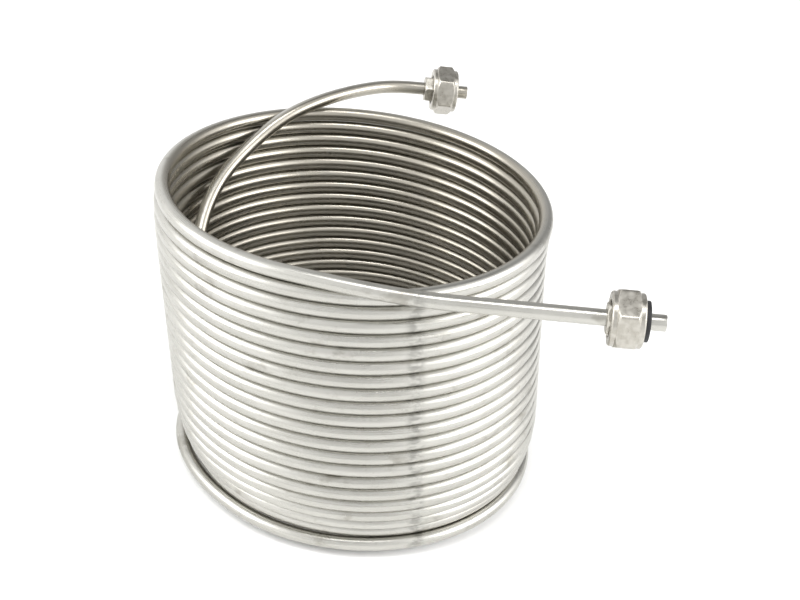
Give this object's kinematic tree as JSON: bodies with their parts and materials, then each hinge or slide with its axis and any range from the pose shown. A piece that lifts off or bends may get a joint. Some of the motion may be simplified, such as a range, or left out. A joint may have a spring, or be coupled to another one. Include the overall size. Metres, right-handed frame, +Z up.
{
  "type": "immersion wort chiller",
  "caption": "Immersion wort chiller: a tall close-wound helical coil of round tube, both ends led off at the rim, each with a compression fitting and a loose union nut.",
  "frame": {"origin": "on the surface the coil stands on, under the axis of its lowest turn", "axes": "+Z up along the height of the stack; +X towards the side that both ends point to; +Y from the side where the outlet leg leaves the rim towards the side where the inlet leg crosses it"},
  "size_m": [0.3063, 0.3483, 0.2367],
  "materials": {
    "tube": "polished stainless steel",
    "fitting": "satin nickel plate",
    "ferrule": "machined",
    "rubber": "matt"
  },
  "bodies": {
    "coil": {"coil_top": "tube", "coil_upper": "tube", "coil_lower": "tube", "coil_bottom": "tube", "outlet_leg": "tube", "inlet_leg": "tube", "outlet_tailpiece": "fitting", "outlet_compression_nut": "fitting", "outlet_front_ferrule": "ferrule", "outlet_rear_ferrule": "ferrule", "outlet_gasket": "rubber", "inlet_tailpiece": "fitting", "inlet_compression_nut": "fitting", "inlet_front_ferrule": "ferrule", "inlet_rear_ferrule": "ferrule", "inlet_gasket": "rubber"},
    "outlet_ring": {"outlet_thrust_ring": "ferrule"},
    "outlet_nut": {"outlet_union_nut": "fitting"},
    "inlet_ring": {"inlet_thrust_ring": "ferrule"},
    "inlet_nut": {"inlet_union_nut": "fitting"}
  },
  "joints": [
    {"name": "outlet_nut_slide", "type": "slide", "parent": "coil", "child": "outlet_ring", "axis": [0.9928, -0.1079, 0.0515], "range_m": [-0.026, 0.0038]},
    {"name": "outlet_nut_spin", "type": "hinge", "parent": "outlet_ring", "child": "outlet_nut", "pos_m": [0.13746, -0.14924, 0.21679], "axis": [0.9928, -0.1079, 0.0515], "continuous": true},
    {"name": "inlet_nut_slide", "type": "slide", "parent": "coil", "child": "inlet_ring", "axis": [0.9983, 0.0523, -0.0262], "range_m": [-0.026, 0]},
    {"name": "inlet_nut_spin", "type": "hinge", "parent": "inlet_ring", "child": "inlet_nut", "pos_m": [0.04485, 0.16266, 0.21844], "axis": [0.9983, 0.0523, -0.0262], "continuous": true}
  ]
}
